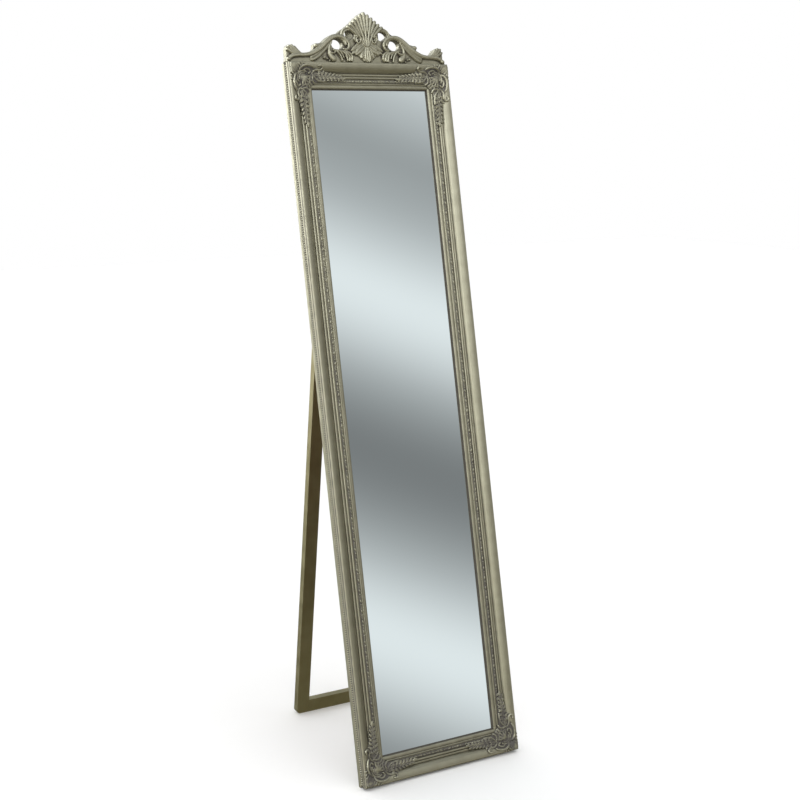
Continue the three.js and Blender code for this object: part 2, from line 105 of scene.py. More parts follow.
class Nodes:
    """Small wrapper that keeps node graphs readable."""

    def __init__(self, name):
        self.material = bpy.data.materials.new(name)
        self.material.use_nodes = True
        self.tree = self.material.node_tree
        self.shader = self.tree.nodes["Principled BSDF"]

    def add(self, kind, inputs=None, **settings):
        node = self.tree.nodes.new(kind)
        for key, value in settings.items():
            setattr(node, key, value)
        for key, value in (inputs or {}).items():
            self.put(node.inputs[key], value)
        return node

    def put(self, socket, value):
        if isinstance(value, bpy.types.NodeSocket):
            self.tree.links.new(value, socket)
        else:
            socket.default_value = value

    def noise(self, scale, detail, roughness=0.5):
        place = self.add("ShaderNodeTexCoord").outputs["Object"]
        node = self.add("ShaderNodeTexNoise", {"Vector": place, "Scale": scale, "Detail": detail,
                                               "Roughness": roughness})
        return node.outputs["Fac"]

    def ramp(self, value, low, high, to_low=0.0, to_high=1.0):
        node = self.add("ShaderNodeMapRange", {"Value": value, "From Min": low, "From Max": high,
                                               "To Min": to_low, "To Max": to_high})
        return node.outputs["Result"]

    def math(self, operation, a, b):
        node = self.add("ShaderNodeMath", operation=operation)
        self.put(node.inputs[0], a)
        self.put(node.inputs[1], b)
        return node.outputs[0]

    def mix(self, factor, a, b):
        node = self.add("ShaderNodeMix", data_type="RGBA")
        self.put(node.inputs["Factor"], factor)
        self.put(node.inputs["A"], a)
        self.put(node.inputs["B"], b)
        return node.outputs["Result"]

    def bump(self, height, distance, strength, normal=None):
        inputs = {"Height": height, "Distance": distance, "Strength": strength}
        if normal is not None:
            inputs["Normal"] = normal
        return self.add("ShaderNodeBump", inputs).outputs["Normal"]

    def surface(self, **values):
        for key, value in values.items():
            self.put(self.shader.inputs[key.replace("_", " ")], value)
        return self.material


def shade(colour, factor):
    return tuple(min(1, channel * factor) for channel in colour[:3]) + (1,)


def aged_leaf(name, face, wash_and_shade, wash_reach, gloss, mottle):
    """Champagne-silver leaf paint: brushed thin on the crests, with a dark wash in recesses, whose colour also
    lays painted shade where the recess values carry it. The wash starts and is full at the two recess values of
    wash_reach, and mottle blurs them."""
    n = Nodes(name)
    recess_and_shade = n.add("ShaderNodeAttribute", attribute_name="recess_and_shade").outputs["Fac"]
    patches = n.noise(38, 4)
    fine = n.noise(420, 3)
    uneven = n.math("ADD", recess_and_shade, n.ramp(patches, 0.3, 0.7, -mottle / 2, mottle / 2))
    amount = n.ramp(uneven, *wash_reach)
    worn = n.mix(n.ramp(patches, 0.35, 0.7), face, shade(face, 0.86))
    bright = n.mix(n.ramp(recess_and_shade, 0.22, 0.02, 0, 0.55), worn, shade(face, 1.3))
    # the dark colour gives the wash in recesses and also the painted shade
    colour = n.mix(amount, bright, wash_and_shade)
    metallic = n.ramp(amount, 0, 1, 0.93, 0.5)
    rough = n.math("ADD", n.ramp(amount, 0, 1, gloss, 0.64), n.ramp(fine, 0.3, 0.7, -0.05, 0.06))
    normal = n.bump(fine, 0.0005, 0.35, n.bump(patches, 0.0012, 0.3))
    return n.surface(Base_Color=colour, Metallic=metallic, Roughness=rough, Normal=normal)


def stand_paint():
    n = Nodes("stand_paint")
    patches = n.noise(22, 3)
    fine = n.noise(520, 2)
    colour = n.mix(n.ramp(patches, 0.3, 0.7), (0.27, 0.245, 0.135, 1), (0.33, 0.302, 0.175, 1))
    rough = n.math("ADD", n.ramp(patches, 0.3, 0.7, 0.36, 0.46), n.ramp(fine, 0.3, 0.7, -0.04, 0.05))
    normal = n.bump(fine, 0.0004, 0.3)
    return n.surface(Base_Color=colour, Metallic=0.92, Roughness=rough, Normal=normal)


def mirror_silver():
    n = Nodes("mirror_silver")
    tint = n.mix(n.ramp(n.noise(3, 2), 0.3, 0.7), (0.81, 0.895, 0.91, 1), (0.815, 0.90, 0.915, 1))
    return n.surface(Base_Color=tint, Metallic=1.0, Roughness=0.015)


def hardboard():
    n = Nodes("hardboard")
    fibres = n.noise(700, 4, 0.7)
    cloud = n.noise(9, 3)
    colour = n.mix(n.ramp(fibres, 0.3, 0.7), (0.075, 0.045, 0.025, 1), (0.16, 0.10, 0.06, 1))
    colour = n.mix(n.ramp(cloud, 0.3, 0.7, 0, 0.35), colour, (0.2, 0.13, 0.08, 1))
    return n.surface(Base_Color=colour, Roughness=n.ramp(fibres, 0.3, 0.7, 0.75, 0.9),
                     Normal=n.bump(fibres, 0.0005, 0.5))


def beech():
    n = Nodes("beech")
    place = n.add("ShaderNodeTexCoord").outputs["Object"]
    mapping = n.add("ShaderNodeMapping", {"Vector": place, "Scale": (900, 900, 60)})
    noise_inputs = {"Vector": mapping.outputs["Vector"], "Scale": 1.0, "Detail": 3.0}
    grain = n.add("ShaderNodeTexNoise", noise_inputs).outputs["Fac"]
    colour = n.mix(n.ramp(grain, 0.35, 0.65), (0.42, 0.27, 0.14, 1), (0.60, 0.42, 0.24, 1))
    return n.surface(Base_Color=colour, Roughness=0.6, Normal=n.bump(grain, 0.0003, 0.4))


def zinc():
    n = Nodes("zinc")
    cloud = n.noise(160, 3)
    fine = n.noise(2200, 2)
    colour = n.mix(n.ramp(cloud, 0.3, 0.7), (0.50, 0.505, 0.51, 1), (0.64, 0.645, 0.65, 1))
    return n.surface(Base_Color=colour, Metallic=1.0, Roughness=n.ramp(cloud, 0.3, 0.7, 0.25, 0.42),
                     Normal=n.bump(fine, 0.0002, 0.3))


CHAMPAGNE = (0.40, 0.385, 0.285, 1)
# These two dark colours paint the wash in recesses and also painted shade low on the frame; the first also paints
# shade on the moulding's slope to the glass.
TAUPE = (0.085, 0.074, 0.058, 1)
GREY_WASH_AND_SHADE = (0.105, 0.097, 0.085, 1)
MATERIALS = {
    "moulding": aged_leaf("moulding_leaf", CHAMPAGNE, TAUPE, (0.4, 0.95), 0.44, 0.12),
    "ornament": aged_leaf("ornament_leaf", CHAMPAGNE, GREY_WASH_AND_SHADE, (0.1, 0.6), 0.48, 0.35),
    "stand_paint": stand_paint(),
    "mirror": mirror_silver(),
    "backboard": hardboard(),
    "plain_wood": beech(),
    "steel": zinc(),
}

SLOT_OF = {row["node"]: row["material_slot"] for row in frame["record"]["subparts"]}
for node_name, node in frame["nodes"].items():
    node.data.materials.clear()
    node.data.materials.append(MATERIALS[SLOT_OF[node_name]])


# ---- the moulded frame ------------------------------------------------------------------

def reed(t0, t1, depth, crown, steps=10):
    return arc(((t0 + t1) / 2, depth), ((t1 - t0) / 2, depth - crown), 180, 360, steps)


# Cross sections as (distance inwards from the outer edge, depth behind the front rim).
MOULDING = [
    *arc((3, 3), (3, 3), 180, 270, 7),
    *arc((4, 17), (22, 17), 272, 335, 14),
    (25.2, 11),
    *reed(26, 31.6, 10, 8.2),
    *reed(32.8, 38.8, 9.4, 6.2),
    (39.8, 9.4),
    (40.6, 9),
    (47.6, 9),
    (48.4, 9.8),
    *reed(49, 52.2, 9.6, 8),
    (52.8, 10.4),
    *arc((56, 12), (5.4, 2.4), 200, 340, 8),
    (61.6, 13.4),
    (FACE, 17),
    (56, 17),
    (56, DEPTH),
    (0, DEPTH),
    (0, 24),
    (2.2, 23),
    (2.2, 12.6),
    (0, 11.6),
]
PEARL_BED = [(40.9, 8.7), *arc((44.1, 8.6), (3.1, 1.0), 180, 360, 8), (47.3, 8.7)]
SIDE_BEAD_BED = [(1.9, 22.4), *arc((1.9, 17.8), (0.7, 4.4), 90, 270, 8), (1.9, 13.2)]
MITRE_GAP = 0.3
FLAT_RECESS = 0.3                # the recess value of a flat surface
NEIGHBOUR_REACH = 4.5
LIP_EDGE = 60.5                  # behind this edge and depth the moulding slopes to the glass; this slope is painted dark as shade
LIP_DEPTH = 12


def edge_place(place, turn):
    """A spot on the outer edge, turned in the frame's plane by so many degrees."""
    return Matrix.Translation(place) @ Matrix.Rotation(math.radians(turn), 4, "Y")


SIDES = {
    "top": (WIDTH, edge_place((0, 0, HEIGHT), 0)),
    "bottom": (WIDTH, edge_place((0, 0, 0), 180)),
    "left": (HEIGHT, edge_place((-WIDTH / 2, 0, HEIGHT / 2), -90)),
    "right": (HEIGHT, edge_place((WIDTH / 2, 0, HEIGHT / 2), 90)),
}


def rail_name(side):
    return side + ("_rail" if side in ("top", "bottom") else "_stile")


def moved(points, place):
    spot = np.array(place)
    return np.asarray(points, float) @ spot[:3, :3].T + spot[:3, 3]


def profile_cavity(profile):
    """How far each profile point lies behind its neighbours' average, as a recess value. The slope between the lip
    and the glass gets the full value, which paints it dark as shade."""
    points = np.array(profile)
    recess = np.zeros(len(points))
    for i, (t, y) in enumerate(points):
        near = np.hypot(points[:, 0] - t, points[:, 1] - y) < NEIGHBOUR_REACH
        recess[i] = FLAT_RECESS + (y - points[near, 1].mean()) * 0.35
    # painted shade: the slope from the lip down to the glass is made fully dark
    painted_shade_slope = (points[:, 0] > LIP_EDGE) & (points[:, 1] > LIP_DEPTH)
    recess[painted_shade_slope] = 1
    return recess


def bar(profile, length, segment=30.0):
    """Points, faces and recess values of a bar along x with mitred ends. The profile's points
    are (t inwards from the edge, y back)."""
    steps = max(2, round(length / segment))
    t = np.array([p[0] for p in profile])
    y = np.array([p[1] for p in profile])
    rows = []
    for i in range(steps + 1):
        share = i / steps * 2 - 1
        rows.append(np.column_stack([share * (length / 2 - t - MITRE_GAP / 2), y, -t]))
    count = len(profile)
    faces = []
    for i in range(steps):
        for j in range(count):
            a, b = i * count + j, i * count + (j + 1) % count
            faces.append((a, b, b + count, a + count))
    faces.append(tuple(range(count))[::-1])
    faces.append(tuple(steps * count + j for j in range(count)))
    return np.concatenate(rows), faces, np.tile(profile_cavity(profile), steps + 1)


def pearl_shape(rings=5, turns=12):
    """A round pearl of radius 1, its poles along y."""
    points = [(0.0, -1.0, 0.0)]
    for i in range(1, rings):
        polar = math.pi * i / rings
        for j in range(turns):
            round_angle = 2 * math.pi * j / turns
            radius = math.sin(polar)
            across, along = radius * math.cos(round_angle), radius * math.sin(round_angle)
            points.append((across, -math.cos(polar), along))
    points.append((0.0, 1.0, 0.0))
    last = len(points) - 1
    faces = []
    for j in range(turns):
        k = (j + 1) % turns
        faces.append((0, 1 + j, 1 + k))
        for i in range(rings - 2):
            a, b = 1 + i * turns, 1 + (i + 1) * turns
            faces.append((a + j, b + j, b + k, a + k))
        faces.append((last, last - turns + k, last - turns + j))
    return np.array(points), faces


PEARL_POINTS, PEARL_FACES = pearl_shape()


def strung(base, pearls, outwards, bed_wash):
    """A bar's mesh with pearls added: each pearl is (place, radii, turn about y in degrees)."""
    points, faces, recess_and_shade = base
    all_points, all_faces, all_cavity = [points], list(faces), [recess_and_shade + bed_wash]
    start = len(points)
    for place, radii, turn in pearls:
        cos, sin = math.cos(math.radians(turn)), math.sin(math.radians(turn))
        spin = np.array([[cos, 0, sin], [0, 1, 0], [-sin, 0, cos]])
        all_points.append(PEARL_POINTS * radii @ spin.T + place)
        all_faces += [tuple(start + i for i in face) for face in PEARL_FACES]
        all_cavity.append(0.6 - 0.7 * PEARL_POINTS @ outwards)
        start += len(PEARL_POINTS)
    return np.concatenate(all_points), all_faces, np.concatenate(all_cavity)


LOW_SHADE_HEIGHT = 1250.0             # above this no painted shade is added, below it painted shade grows towards the bottom
COVE_EDGE = 24.5                 # the plain cove ends here, measured from the outer edge
PEARL_LINE = 44.1                # middle of the pearl band, from the outer edge
PEARL_DEPTH = 8.3
PEARL_REPEAT = 24.5
PEARLS_END = 62                  # the rows stop this far from the bar's end
PEARL_UNIT = [                   # along the band: offset, half length, half width, height, slant
    (0.0, 5.6, 2.7, 2.4, 16),
    (9.2, 2.6, 2.5, 2.2, 0),
    (13.6, 1.7, 1.8, 1.6, 0),
    (17.0, 1.5, 1.6, 1.4, 0),
]
BEAD_REPEAT = 5.3
BEADS_END = 4
BEAD_DEPTH = 17.8
BEAD_LINE = 1.7                  # middle of the beads, from the outer edge
BEAD_RADII = (1.8, 2.6, 1.7)
PEARL_BED_WASH = 0.2             # added to the recess values: wash in the beds, and painted shade low on the frame
BEAD_BED_WASH = 0.8
BAR_LOW_SHADE = 0.25


def pearl_row(length):
    """Bead-and-leaf pattern along a band, mirrored about its middle."""
    reach = length / 2 - PEARLS_END
    pearls = []
    for i in range(int(reach / PEARL_REPEAT) + 1):
        for offset, half_length, half_width, height, slant in PEARL_UNIT:
            along = i * PEARL_REPEAT + offset
            if along > reach:
                continue
            for side in (-1, 1) if along else (1,):
                place = (side * along, PEARL_DEPTH, -PEARL_LINE)
                pearls.append((place, (half_length, height, half_width), side * slant))
    return pearls


def bead_row(length):
    count = int((length - 2 * BEADS_END) / BEAD_REPEAT)
    start = -(count - 1) / 2 * BEAD_REPEAT
    places = [(start + i * BEAD_REPEAT, BEAD_DEPTH, -BEAD_LINE) for i in range(count)]
    return [(place, BEAD_RADII, 0) for place in places]


def painted_low_shade(points, margin):
    """Painted shade that darkens the frame towards the bottom, further in from the outer edge than the margin."""
    low = np.clip(1 - points[:, 2] / LOW_SHADE_HEIGHT, 0, 1)
    inside = (np.abs(points[:, 0]) < WIDTH / 2 - margin) & (points[:, 2] > margin)
    return low * inside


def side_piece(name, mesh, place, slot, node):
    points, faces, recess_and_shade = mesh
    points = moved(points, place)
    piece = add_mesh(name, points, faces)
    # the recess values carry the wash, plus painted shade low on the frame
    set_cavity(piece, recess_and_shade + BAR_LOW_SHADE * painted_low_shade(points, COVE_EDGE))
    finish_piece(piece, slot, node)


def add_frame_bars():
    for side, (length, place) in SIDES.items():
        rail = rail_name(side)
        side_piece(f"carved_{rail}", bar(MOULDING, length), place, "moulding", rail)
        band = strung(bar(PEARL_BED, length), pearl_row(length), (0, -1, 0), PEARL_BED_WASH)
        side_piece(f"{side}_pearls", band, place, "ornament", f"{side}_pearl_band")
        beads = strung(bar(SIDE_BEAD_BED, length), bead_row(length), (0, 0, 1), BEAD_BED_WASH)
        side_piece(f"{side}_edge_beads", beads, place, "moulding", f"{side}_side_beads")


# ---- carved relief ----------------------------------------------------------------------

SKIN_VOXEL = 0.85

# Cross sections of a strand: height from 0 at its foot to 1, against place across it, -1 to 1.

def round_section(s):
    return np.sqrt(np.clip(1 - s ** 2, 0, 1))


def channel_section(s):
    hollow = np.clip(1 - (s / 0.62) ** 2, 0, 1) * 0.55
    return np.clip(1 - s ** 4, 0, 1) ** 0.5 * (1 - hollow)


def broad_section(s):
    """Rounded, with a fine groove near one edge."""
    return np.clip(1 - s ** 4, 0, 1) ** 0.6 * (1 - 0.3 * np.exp(-((s - 0.55) / 0.16) ** 2))


def vein_section(s):
    return np.sqrt(np.clip(1 - s ** 2, 0, 1)) * (1 - 0.5 * np.exp(-(s / 0.2) ** 2))


def fluted_section(s):
    return np.clip(1 - s ** 6, 0, 1) ** 0.5 * (0.68 + 0.32 * np.cos(3 * math.pi * s))


def curve_through(rows, step=1.6):
    """A smooth curve through rows of numbers, the first two of which are its place."""
    rows = np.array(rows, float)
    padded = np.vstack([2 * rows[0] - rows[1], rows, 2 * rows[-1] - rows[-2]])
    curve = []
    for i in range(1, len(padded) - 2):
        p0, p1, p2, p3 = padded[i - 1:i + 3]
        count = max(2, int(np.hypot(*(p2 - p1)[:2]) / step))
        for u in np.arange(count) / count:
            curve.append(0.5 * (2 * p1 + (p2 - p0) * u + (2 * p0 - 5 * p1 + 4 * p2 - p3) * u ** 2
                                + (3 * p1 - p0 - 3 * p2 + p3) * u ** 3))
    curve.append(rows[-1])
    return np.array(curve)


def mirrored(rows):
    return [(-row[0], *row[1:]) for row in rows]


class Relief:
    """Overlapping closed strands over a flat ground. Places are (across, up); depth grows
    towards the back, and a strand runs back to the same depth unless it says otherwise."""

    SAMPLES = np.linspace(-1, 1, 13)
    END_SHARES = (0.45, 0.75, 0.94)

    def __init__(self, back):
        self.back = back
        self.points = []
        self.faces = []

    def add_rings(self, rings):
        start = len(self.points)
        count = len(rings[0])
        for ring in rings:
            self.points.extend(ring)
        for i in range(len(rings) - 1):
            for j in range(count):
                a = start + i * count + j
                b = start + i * count + (j + 1) % count
                self.faces.append((a, b, b + count, a + count))
        self.faces.append(tuple(start + j for j in reversed(range(count))))
        self.faces.append(tuple(start + (len(rings) - 1) * count + j for j in range(count)))

    def strand(self, rows, section=round_section, rise=3.5, back=None):
        """Rows are (across, up, half width, depth of the crown)."""
        back = back or self.back
        curve = curve_through(rows)
        along = np.gradient(curve[:, :2], axis=0)
        along /= np.linalg.norm(along, axis=1)[:, None]
        ends = []
        for place, direction, sign in ((curve[0], along[0], -1), (curve[-1], along[-1], 1)):
            cap = []
            for share in self.END_SHARES:
                shrink = math.sqrt(1 - share ** 2)
                spot = place[:2] + sign * direction * share * place[2]
                cap.append((*spot, place[2] * shrink, place[3] + (1 - shrink) * rise * 0.8, *direction))
            ends.append(cap)
        body = [(*row, *direction) for row, direction in zip(curve, along)]
        rings = []
        for x, z, half, crown, dx, dz in ends[0][::-1] + body + ends[1]:
            height = section(self.SAMPLES) * rise
            side = self.SAMPLES * max(half, 0.3)
            ring = [(x - dz * s, crown + rise - h, z + dx * s) for s, h in zip(side, height)]
            left, right = ring[0], ring[-1]
            rings.append([(left[0], back, left[2]), *ring, (right[0], back, right[2])])
        self.add_rings(rings)

    def both(self, rows, section=round_section, rise=3.5, back=None):
        """The same strand on both sides of the middle."""
        self.strand(rows, section, rise, back)
        self.strand(mirrored(rows), section, rise, back)

    def plate(self, outline, front, holes=()):
        """A flat piece. Its front is one depth, or a function of the place across."""
        loops = [[Vector((x, z, 0)) for x, z in loop] for loop in (outline, *holes)]
        flat = [spot for loop in loops for spot in loop]
        start = len(self.points)
        count = len(flat)
        fronts = [front(spot.x) if callable(front) else front for spot in flat]
        self.points += [(spot.x, depth, spot.y) for spot, depth in zip(flat, fronts)]
        self.points += [(spot.x, self.back, spot.y) for spot in flat]
        for a, b, c in tessellate_polygon(loops):
            self.faces.append((start + a, start + b, start + c))
            self.faces.append((start + count + c, start + count + b, start + count + a))
        offset = start
        for loop in loops:
            for i in range(len(loop)):
                a, b = offset + i, offset + (i + 1) % len(loop)
                self.faces.append((a, b, b + count, a + count))
            offset += len(loop)

    def skin(self, voxel, rounds):
        """One smoothed closed surface over all the strands: points and faces."""
        mesh = bpy.data.meshes.new("rough")
        mesh.from_pydata(self.points, [], self.faces)
        tool = bmesh.new()
        tool.from_mesh(mesh)
        bmesh.ops.recalc_face_normals(tool, faces=tool.faces)
        tool.to_mesh(mesh)
        tool.free()
        rough = bpy.data.objects.new("rough", mesh)
        bpy.context.scene.collection.objects.link(rough)
        remesh = rough.modifiers.new("skin", "REMESH")
        remesh.mode = "VOXEL"
        remesh.voxel_size = voxel
        evaluated = rough.evaluated_get(bpy.context.evaluated_depsgraph_get())
        skin = bpy.data.meshes.new_from_object(evaluated)
        points = np.empty(len(skin.vertices) * 3)
        skin.vertices.foreach_get("co", points)
        edges = np.empty(len(skin.edges) * 2, int)
        skin.edges.foreach_get("vertices", edges)
        faces = [tuple(face.vertices) for face in skin.polygons]
        bpy.data.objects.remove(rough)
        bpy.data.meshes.remove(mesh)
        bpy.data.meshes.remove(skin)
        return relaxed(points.reshape(-1, 3), edges.reshape(-1, 2), rounds), faces


def relaxed(points, edges, rounds, share=0.5):
    """Points pulled towards the average of their neighbours."""
    ends = np.concatenate([edges, edges[:, ::-1]])
    counts = np.bincount(ends[:, 0], minlength=len(points))
    for _ in range(rounds):
        mean = np.column_stack([
            np.bincount(ends[:, 0], weights=points[ends[:, 1], axis], minlength=len(points)) / counts
            for axis in range(3)])
        points = points * (1 - share) + mean * share
    return points


def relief_cavity(points, back, reach, gain):
    """Recess values from how far each point lies behind the blurred front around it, blurred
    over each reach and weighed by its gain. Deep holes count as just behind the ground."""
    cell, margin, hole_depth = 0.8, 12, 4
    low = points.min(axis=0) - margin
    columns, rows = ((points[:, (0, 2)].max(axis=0) + margin - low[[0, 2]]) / cell).astype(int) + 1
    column = ((points[:, 0] - low[0]) / cell).astype(int)
    row = ((points[:, 2] - low[2]) / cell).astype(int)
    front = np.full((rows, columns), float(back))
    np.minimum.at(front, (row, column), points[:, 1])
    ground = np.quantile(points[:, 1], 0.35)
    front = np.minimum(front, ground + hole_depth)
    recess = np.full(len(points), FLAT_RECESS)
    for radius, strength in zip(reach, gain):
        blurred = front
        width = max(1, round(radius / cell))
        for axis in (0, 1, 0, 1):
            total = sum(np.roll(blurred, shift, axis) for shift in range(-width, width + 1))
            blurred = total / (2 * width + 1)
        recess += strength * (points[:, 1] - blurred[row, column])
    return recess


def relief_piece(name, points, faces, recess_and_shade, slot, node):
    piece = add_mesh(name, points, faces, sharp=80)
    set_cavity(piece, recess_and_shade)
    finish_piece(piece, slot, node)


# ---- the crest --------------------------------------------------------------------------

CREST_BACK = 26.8
CREST_PLATE_FRONT = 13
CREST_FOOT = 0.3                 # gap over the top rail
GROUND_FRONT = 9.6
WEB_FRONT = 9
WALL_RECESS = 0.55               # recess value of the holes' walls and of the outer edge
WALL_MARGIN = 0.8                # the walls start this far behind the plate's front
ELLIPSE_STEP = 18
CREST_OUTLINE = [                # right half, from the middle of the top to the foot
    (0, 118.5), (12, 113.6), (25, 106.4), (36, 97.4), (46, 89.4), (57, 84), (67, 79), (75, 72), (85, 67),
    (98, 61), (108, 55), (118, 48), (126, 44), (134, 43), (141, 43), (145, 38), (147, 32),
    (153, 26), (163, 23), (173, 21.5), (183, 22), (190, 27), (198, 35), (206, 41), (214, 41.5),
    (219, 36), (221, 27), (221, 14), (223, 0.4),
]
CREST_HOLES = [(80, 45.5, 15.5, 13), (49, 67, 15.5, 11.5)]    # through the back plate
HOLE_WEB = [(30, 54), (47, 52), (47, 80), (30, 80)]           # slopes back into an inner hole
SHELL_GROUND = [(0, 113), (12, 109), (24, 102), (34, 94), (44, 87), (31, 72), (21, 58), (15, 44), (0, 40)]
LEAF_GROUND = [(0, 48), (15, 47), (30, 41), (42, 33), (39, 24), (29, 20), (18, 13), (11, 5), (0, 4)]


def web_front(across):
    """The web's front falls back one millimetre for each millimetre outwards."""
    return WEB_FRONT + (abs(across) - HOLE_WEB[0][0])


def ellipse_rows(centre, radii, start, end, half_width, depth):
    """Strand rows along an ellipse, from one angle to the other in degrees."""
    step = math.copysign(ELLIPSE_STEP, end - start)
    angles = np.radians(np.arange(start, end + step / 2, step))
    x, z = centre
    return [(x + radii[0] * math.cos(a), z + radii[1] * math.sin(a), half_width, depth) for a in angles]


def add_shell_fan(relief):
    """Eleven rounded flutes, of which every second one starts higher up."""
    tips = [(0, 118.4), (10.2, 113.4), (20, 106.4), (29.2, 99), (38.2, 92), (47.2, 85.8)]
    for i, (x, z) in enumerate(tips):
        rows = [(x * 0.57 + i * 0.3, 84 - i * 2.6, 3.5, 5.0), (x, z, 5.1 - i * 0.1, 4.9)]
        if i % 2:
            rows.insert(0, (x * 0.4 + i * 0.5, 74 - i * 2.2, 1.6, 6.8))
        else:
            rows[:0] = [(i * 1.8, 41 + i * 0.4, 1.9, 6.0), (x * 0.2 + i * 1.3, 60 - i, 3.0, 5.2)]
        if i:
            relief.both(rows, round_section, 4.4)
        else:
            relief.strand(rows, round_section, 4.4)


def add_scrolls(relief):
    ring = ellipse_rows((46, 66), (18.8, 15.8), -24, 216, 4.6, 6.4)
    relief.both([*ring, (28, 53.4, 3.6, 6.2)], channel_section, 4.2, back=17)
    relief.both([(17, 66, 1.6, 6.4), (15.6, 58, 2.2, 5.6), (18, 50.6, 2.6, 5.2), (24, 48, 2.4, 5.4),
                 (26.6, 52.4, 2.2, 5.2), (23.4, 55.4, 2.4, 5)])
    relief.both([(24, 62.4, 2, 5.6), (27, 65, 1.6, 6)])
    arm = [(221, 3, 3.2, 8.5), (215.5, 9.5, 4.2, 6.6), (206, 15.2, 4.8, 6), (190, 17.8, 4.8, 6),
           (172, 18.2, 4.8, 6), (155, 21.4, 5.2, 5.8), (138, 29.4, 5.8, 5.6), (124, 39, 6.2, 5.4),
           (112, 48.8, 6.4, 5.2), (101, 57, 6.2, 5.2), (90, 62.2, 5.6, 5.2), (79, 63.8, 5, 5.2),
           (68, 62.4, 4.8, 5.2), (58.5, 57.8, 4.6, 5.2), (51.5, 50.4, 4.4, 5.2), (49.4, 42, 4.2, 5.2),
           (52.5, 35, 3.8, 5.4), (59, 32, 3.2, 5.8), (64, 33.6, 2.6, 6.6)]
    relief.both(arm, broad_section, 4.2)
    relief.both([(72, 58.4, 1.6, 7), (63.5, 55.5, 2.2, 6.6), (58.4, 50, 2.6, 6.2), (58, 44.5, 3.2, 5.6)])
    rim = ellipse_rows((80, 45.5), (18.6, 15.8), 168, 12, 2.8, 7.2)
    relief.both(rim, round_section, 3)
    relief.both([(97, 49, 2.4, 7), (102, 41, 3, 6.6), (105.4, 31, 3.8, 6), (105, 21, 5.4, 5.4),
                 (99, 12.4, 7.6, 4.8), (95.5, 9.6, 8, 4.8)], round_section, 5)
    relief.both([(107, 30, 1.6, 5.6), (102.5, 24.5, 2.2, 4.8), (95, 22.6, 2.4, 4.8), (88.5, 26.4, 1.8, 5.6)])
    foot = [(103, 50, 2.4, 7.2), (108.5, 42, 4, 7), (117, 33.4, 5.4, 7), (129, 24, 6.4, 7.2),
            (141, 16, 7.4, 7.4), (151.5, 11, 8, 7.8)]
    relief.both(foot, vein_section, 4)
    relief.both([(118, 46, 3.6, 7.4), (127, 43.6, 3.8, 7), (134, 41, 4.6, 6.6), (139.5, 40.2, 5.6, 5.8)],
                round_section, 4.6)
    for x, z, radius in ((217.5, 7.5, 5), (113.4, 9.6, 2.6), (120.5, 12, 3), (107.5, 4.6, 2.2)):
        relief.both([(x - 0.4, z, radius, 5.6), (x + 0.4, z, radius, 5.6)])


def add_drapery(relief):
    """Leaves, drops and fists that hang from the scrolls over the back plate."""
    tongue = [(0, 43, 4.4, 6.4), (0, 31, 7, 5.6), (0, 17, 9.6, 5.2), (0, 10.6, 9.2, 5.4)]
    relief.strand(tongue, fluted_section, 3.8)
    broad_leaf = [(5, 43, 4.4, 6.8), (14, 36.4, 7.6, 6.2), (23, 29.4, 8, 6), (30.4, 23, 4.8, 6.6)]
    relief.both(broad_leaf, vein_section, 3.4)
    small_leaves = [
        [(13, 47, 3.6, 7.4), (25, 41.8, 5.4, 6.8), (36, 35, 4.6, 7), (43, 30.8, 2.6, 7.6)],
        [(9, 29, 4, 6.8), (14, 19.4, 5, 6.4), (16.6, 14, 3.4, 6.8)],
        [(26, 25, 2.8, 7.2), (33.6, 26.6, 3.8, 6.8), (40.5, 24, 2.6, 7.2)],
    ]
    for rows in small_leaves:
        relief.both(rows, vein_section, 3)
    relief.both([(3.4, 60, 1.4, 6.6), (8.6, 53, 2.2, 5.8), (8.4, 45.6, 2.6, 5.4), (3, 40.6, 2.2, 5.6)])
    relief.both([(93, 31, 2.4, 7.2), (82, 29.6, 2.8, 6.8), (71, 27.6, 3, 6.4), (62, 25.4, 3, 6.2)])
    fingers = [
        [(63, 27, 2.4, 6.4), (52.5, 25.6, 2.8, 6), (45.6, 19.6, 3, 5.8), (43.6, 11.4, 3, 5.8),
         (46, 5.4, 2.6, 6.4)],
        [(64, 25.4, 2.2, 6.2), (56, 21.8, 2.8, 5.6), (51, 13.6, 3, 5.4), (51.4, 5.6, 2.8, 5.8)],
        [(67, 25.4, 2.2, 6.2), (61, 20.4, 2.8, 5.6), (58.4, 12.6, 3, 5.6), (57, 5.6, 2.8, 6)],
        [(84, 27.6, 2.2, 6.6), (78, 20.6, 2.6, 6.2), (73.6, 12, 2.8, 6), (72, 5, 2.8, 6.4)],
        [(75, 26, 1.8, 7), (69.6, 20, 2.2, 6.8), (66.4, 12.6, 2.2, 7.2)],
    ]
    for rows in fingers:
        relief.both(rows, round_section, 3.6)


def add_end_leaves(relief):
    leaves = [
        [(182, 20.5, 2, 7.4), (191.4, 27.6, 3.2, 7), (198.4, 35.4, 3.4, 7.2)],
        [(184, 20, 2, 7), (196.6, 28.6, 3.6, 6.4), (206.4, 38.4, 3.9, 6.8)],
        [(187, 19, 2, 7), (201.6, 26.6, 3.7, 6.4), (213.6, 37, 3.9, 7)],
        [(190, 18, 2, 7.2), (205.6, 22.8, 3.5, 6.6), (217.6, 29.6, 3.6, 7.4)],
    ]
    for rows in leaves:
        relief.both(rows, round_section, 3.6)


